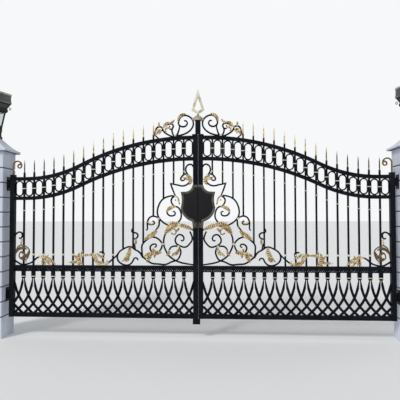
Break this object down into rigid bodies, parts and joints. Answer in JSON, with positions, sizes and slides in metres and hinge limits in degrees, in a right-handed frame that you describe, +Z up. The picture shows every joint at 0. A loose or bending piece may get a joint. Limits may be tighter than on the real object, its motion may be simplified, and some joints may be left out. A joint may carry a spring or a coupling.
{
  "type": "wrought iron driveway gate",
  "caption": "Double-leaf wrought iron driveway gate with a swan-neck top, oval band, lattice foot and scrolls, hung on coursed stone piers with lanterns.",
  "frame": {"origin": "middle of the left pier's flat foot, at ground level", "axes": "+Z up, +X along the gate from the left pier to the right, +Y from the street side to the garden side"},
  "size_m": [5.0986, 0.36, 2.72],
  "materials": {
    "pale_stone": "pale dressed stone, matte",
    "black_iron": "satin black paint on forged iron",
    "antique_gold": "antique gold paint",
    "bronze_brown": "dark bronze paint",
    "lantern_metal": "weathered dark grey metal",
    "lantern_glass": "clear glass"
  },
  "bodies": {
    "root": {"left_pier": "pale_stone", "left_pier_cap": "pale_stone", "left_lantern": "lantern_metal", "left_lantern_glass": "lantern_glass", "left_hinge_brackets": "black_iron", "right_pier": "pale_stone", "right_pier_cap": "pale_stone", "right_lantern": "lantern_metal", "right_lantern_glass": "lantern_glass", "right_hinge_brackets": "black_iron"},
    "left_leaf": {"left_hinge_stile": "black_iron", "left_meeting_stile": "black_iron", "left_top_rail": "black_iron", "left_band_rail": "black_iron", "left_lock_rail": "black_iron", "left_bottom_rail": "black_iron", "left_bars": "black_iron", "left_ovals": "black_iron", "left_collars": "antique_gold", "left_lattice": "black_iron", "left_spears": "antique_gold", "left_crest_scrolls": "black_iron", "left_panel_scrolls": "black_iron", "left_gilt_leaves": "antique_gold", "left_crook": "antique_gold", "left_shield": "bronze_brown", "centre_post": "black_iron", "finial": "antique_gold", "centre_foot": "black_iron"},
    "right_leaf": {"right_hinge_stile": "black_iron", "right_meeting_stile": "black_iron", "right_top_rail": "black_iron", "right_band_rail": "black_iron", "right_lock_rail": "black_iron", "right_bottom_rail": "black_iron", "right_bars": "black_iron", "right_ovals": "black_iron", "right_collars": "antique_gold", "right_lattice": "black_iron", "right_spears": "antique_gold", "right_crest_scrolls": "black_iron", "right_panel_scrolls": "black_iron", "right_gilt_leaves": "antique_gold", "right_crook": "antique_gold", "right_shield": "bronze_brown"}
  },
  "joints": [
    {"name": "left_leaf_hinge", "type": "hinge", "parent": "root", "child": "left_leaf", "pos_m": [0.224, -0.02, 1.67], "axis": [0, 0, 1], "range_deg": [0, 90]},
    {"name": "right_leaf_hinge", "type": "hinge", "parent": "root", "child": "right_leaf", "pos_m": [4.3946, -0.02, 1.67], "axis": [0, 0, -1], "range_deg": [0, 90]}
  ]
}
